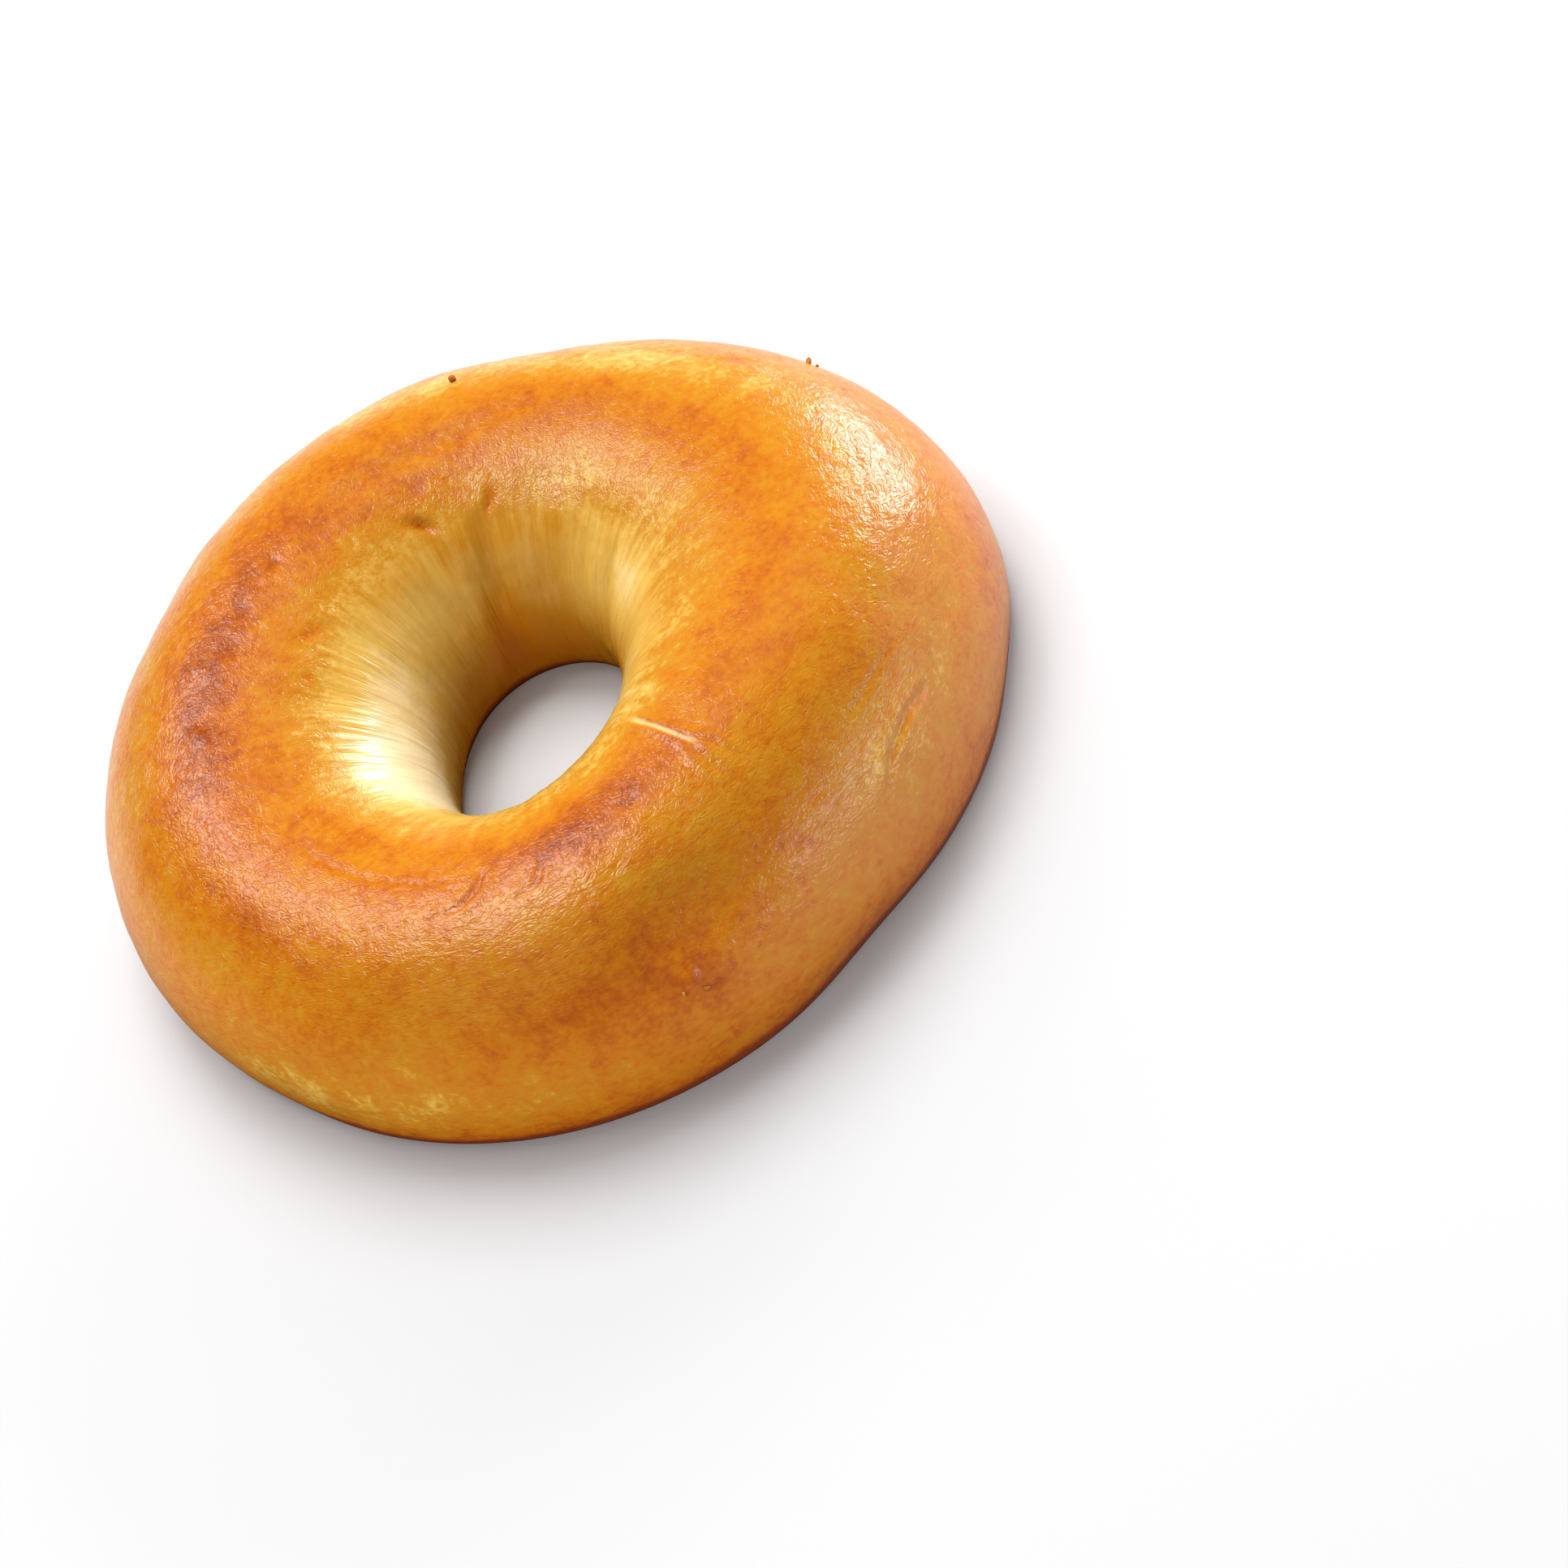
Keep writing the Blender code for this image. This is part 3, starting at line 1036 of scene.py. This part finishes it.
class BagelForm(bpy.types.PropertyGroup):
    """The sizes of the whole ring before it is sliced. Heights are above the cut."""

    outer_radius: length("Outer Radius", "Of the ring, before its slow waves", 54.0 * MM)
    hole_radius: length("Hole Radius", "Of the hole at its narrowest", 13.1 * MM)
    hole_shift: shift(
        "Hole Shift", "How far the hole lies from the ring's centre", (-1.9 * MM, -3.8 * MM, 0.0)
    )
    crest_height: length("Crest Height", "Of the crust's top above the cut", 25.4 * MM)
    heel_depth: length("Heel Depth", "Of the bottom half, which was sliced off", 13.0 * MM)
    crest_share: bpy.props.FloatProperty(
        name="Crest Share",
        description="Where the crest lies from the hole to the edge",
        default=0.53,
        subtype="FACTOR",
    )
    widest_height: length("Widest Height", "Of the outer wall's widest place", 5.4 * MM)
    throat_height: length("Throat Height", "Of the hole's narrowest place", 7.2 * MM)
    outer_fullness: bpy.props.FloatProperty(
        name="Outer Fullness", description="Of the outer side: 2 is an ellipse, more is squarer", default=2.1
    )
    inner_fullness: bpy.props.FloatProperty(
        name="Inner Fullness", description="Of the hole's side: 2 is an ellipse, more is squarer", default=1.97
    )
    rim_width: length("Rim Width", "Of the crust where it is cut", 1.1 * MM)
    recess_height: length("Recess Height", "Of the space that the crumb fills", 3.6 * MM)


class BagelSurface(bpy.types.PropertyGroup):
    """The sizes of the crust's unevenness."""

    lump_size: length("Lump Size", "Across the crust's soft lumps", 11.0 * MM)
    lump_height: length("Lump Height", "Of the soft lumps", 0.55 * MM)
    peel_size: length("Peel Size", "Across the skin's finer unevenness", 2.6 * MM)
    peel_height: length("Peel Height", "Of the finer unevenness", 0.12 * MM)
    stretch_height: length("Stretch Height", "Of the folds in the hole's wall", 0.45 * MM)


class BagelColours(bpy.types.PropertyGroup):
    """The colours of the crust, from raw to burnt, and those of the crumb."""

    dough: colour("Dough", "The palest crust", paint(222, 204, 162))
    cream: colour("Cream", "Crust that has hardly browned", paint(196, 159, 76))
    golden: colour("Golden", "Lightly browned crust", paint(174, 118, 24))
    amber: colour("Amber", "Well baked crust", paint(174, 102, 8))
    brown: colour("Brown", "The crest's brown", paint(162, 82, 4))
    scorched: colour("Scorched", "The darkest spots and rim", paint(122, 48, 5))
    torn: colour("Torn", "Dough that a split lays bare", paint(228, 200, 140))
    crumb: colour("Crumb", "The palest crumb", paint(232, 216, 160))
    toast: colour("Toast", "Crumb that has just coloured", paint(226, 188, 96))
    crisp: colour("Crisp", "Well toasted crumb", paint(206, 134, 44))
    # Painted shade: the pores' insides are coloured darker than the crumb around them.
    pore: colour("Pore", "The inside of the crumb's pores", paint(196, 166, 80))


class BagelCrumb(bpy.types.PropertyGroup):
    """The crumb's texture, and the loose crumbs."""

    crumb_roughness: length("Crumb Roughness", "Height of the cut face's unevenness", 0.4 * MM)
    grain: length("Grain", "Across the lumps of a loose crumb", 0.5 * MM)
    seed: bpy.props.IntProperty(name="Seed", description="Turns the loose crumbs another way", default=7)


class BagelStudio(bpy.types.PropertyGroup):
    """The camera."""

    elevation: angle("Elevation", "Of the camera above the floor", radians(48.75))
    roll: angle("Roll", "Of the camera about its own axis", radians(-27.8))
    distance: length("Distance", "From the camera to the floor it looks at", 295.2 * MM)
    aim: shift(
        "Aim", "Where the camera looks, from the middle of the underside", (19.83 * MM, -21.74 * MM, 0.0)
    )
    lens: bpy.props.FloatProperty(name="Lens", description="Focal length in millimetres", default=60.0)


def plain_values(settings):
    """A property group's values by label, as a tree's inputs take them."""
    values = {}
    for prop in settings.bl_rna.properties:
        if prop.identifier in ("rna_type", "name"):
            continue
        value = getattr(settings, prop.identifier)
        values[prop.name] = tuple(value) if hasattr(value, "__len__") else value
    return values


# --------------------------------------
# Operators


def shared_effects():
    """The shader groups that the materials share, built once."""
    built = {}
    for key, name, build in (
        ("mottling", "Uneven baking", build_mottling_group),
        ("wrinkles", "Dough wrinkles", build_wrinkle_group),
    ):
        built[key] = bpy.data.node_groups.get(name) or build()
    return built


def all_colours(scene):
    return {key: tuple(getattr(scene.bagel_colours, key)) for key in BagelColours.__annotations__}


def finish_piece(obj):
    """Hands a finished piece to the frame."""
    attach(obj, "root")


class BAGEL_OT_make_crust(bpy.types.Operator):
    """Make the crust, with its creases, blisters and baked colours"""

    bl_idname = "bagel.make_crust"
    bl_label = "Make Crust"

    def execute(self, context):
        scene = context.scene
        material = make_crust_material(all_colours(scene), shared_effects())
        values = plain_values(scene.bagel_form) | plain_values(scene.bagel_surface)
        values |= {"Steps Around": RING_STEPS, "Skin Rows": SKIN_ROWS}
        tree = build_crust_tree(values, material)
        crust = run_tree(tree, "bagel_crust", values)
        points = read_points(crust.data)
        middle = (points.min(axis=0) + points.max(axis=0)) / 2.0
        scene["ring_middle"] = [float(middle[0]), float(middle[1])]
        press_marks(crust.data)
        centre_on_frame(crust.data, middle)
        pack_map(crust.data)
        finish_piece(crust)
        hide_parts("bagel_top_half")
        return {"FINISHED"}


class BAGEL_OT_make_crumb(bpy.types.Operator):
    """Make the toasted cut face, with its pores"""

    bl_idname = "bagel.make_crumb"
    bl_label = "Make Crumb"

    def execute(self, context):
        scene = context.scene
        material = make_crumb_material(all_colours(scene), shared_effects())
        values = plain_values(scene.bagel_form)
        values["Crumb Roughness"] = scene.bagel_crumb.crumb_roughness
        values |= {"Steps Around": CRUMB_STEPS, "Face Rows": FACE_ROWS}
        tree = build_crumb_tree(values, material)
        crumb = run_tree(tree, "bagel_crumb", values)
        centre_on_frame(crumb.data, scene["ring_middle"])
        pack_map(crumb.data)
        finish_piece(crumb)
        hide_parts("bagel_top_half")
        return {"FINISHED"}


class BAGEL_OT_scatter_crumbs(bpy.types.Operator):
    """Scatter the loose crumbs on the crust"""

    bl_idname = "bagel.scatter_crumbs"
    bl_label = "Scatter Crumbs"

    def execute(self, context):
        crust = bpy.data.objects["bagel_crust"].data
        ground = Ground(crust)
        around, section, lengths, toasted = zip(*LOOSE_CRUMBS)
        rows = [ground.nearest(*place) for place in zip(around, section)]
        sizes = np.array(lengths) * MM / 2.0
        points = read_points(crust)[rows] + read_normals(crust)[rows] * sizes[:, None] * CRUMB_LIFT
        mesh = bpy.data.meshes.new("loose_crumbs")
        mesh.from_pydata(points.tolist(), [], [])
        write_floats(mesh, "size", sizes)
        write_floats(mesh, "worn", -np.array(toasted))
        write_floats(mesh, "across", [0.5] * len(rows))
        values = {"Grain": context.scene.bagel_crumb.grain, "Seed": context.scene.bagel_crumb.seed}
        tree = build_loose_tree(values, bpy.data.materials["toasted crumb"])
        finish_piece(run_tree(tree, "loose_crumbs", values, mesh))
        return {"FINISHED"}


class BAGEL_OT_make_studio(bpy.types.Operator):
    """Make the floor, the lights and the camera"""

    bl_idname = "bagel.make_studio"
    bl_label = "Make Studio"

    def execute(self, context):
        make_floor()
        make_lights()
        make_camera(context.scene, context.scene.bagel_studio)
        return {"FINISHED"}


class BAGEL_PT_panel(bpy.types.Panel):
    """Lists the bagel's pieces and the studio"""

    bl_idname = "BAGEL_PT_panel"
    bl_label = "Bagel"
    bl_space_type = "VIEW_3D"
    bl_region_type = "UI"
    bl_category = "Bagel"

    def draw(self, context):
        for operator in OPERATORS:
            self.layout.operator(operator.bl_idname)


SETTINGS = {
    "bagel_form": BagelForm,
    "bagel_surface": BagelSurface,
    "bagel_colours": BagelColours,
    "bagel_crumb": BagelCrumb,
    "bagel_studio": BagelStudio,
}
OPERATORS = (BAGEL_OT_make_crust, BAGEL_OT_make_crumb, BAGEL_OT_scatter_crumbs, BAGEL_OT_make_studio)
CLASSES = (*SETTINGS.values(), *OPERATORS, BAGEL_PT_panel)


def register():
    for cls in CLASSES:
        bpy.utils.register_class(cls)
    for name, cls in SETTINGS.items():
        setattr(bpy.types.Scene, name, bpy.props.PointerProperty(type=cls))


def unregister():
    for name in SETTINGS:
        delattr(bpy.types.Scene, name)
    for cls in reversed(CLASSES):
        bpy.utils.unregister_class(cls)


def main():
    register()
    bpy.ops.bagel.make_crust()
    bpy.ops.bagel.make_crumb()
    bpy.ops.bagel.scatter_crumbs()
    bpy.ops.bagel.make_studio()


if __name__ == "__main__":
    main()
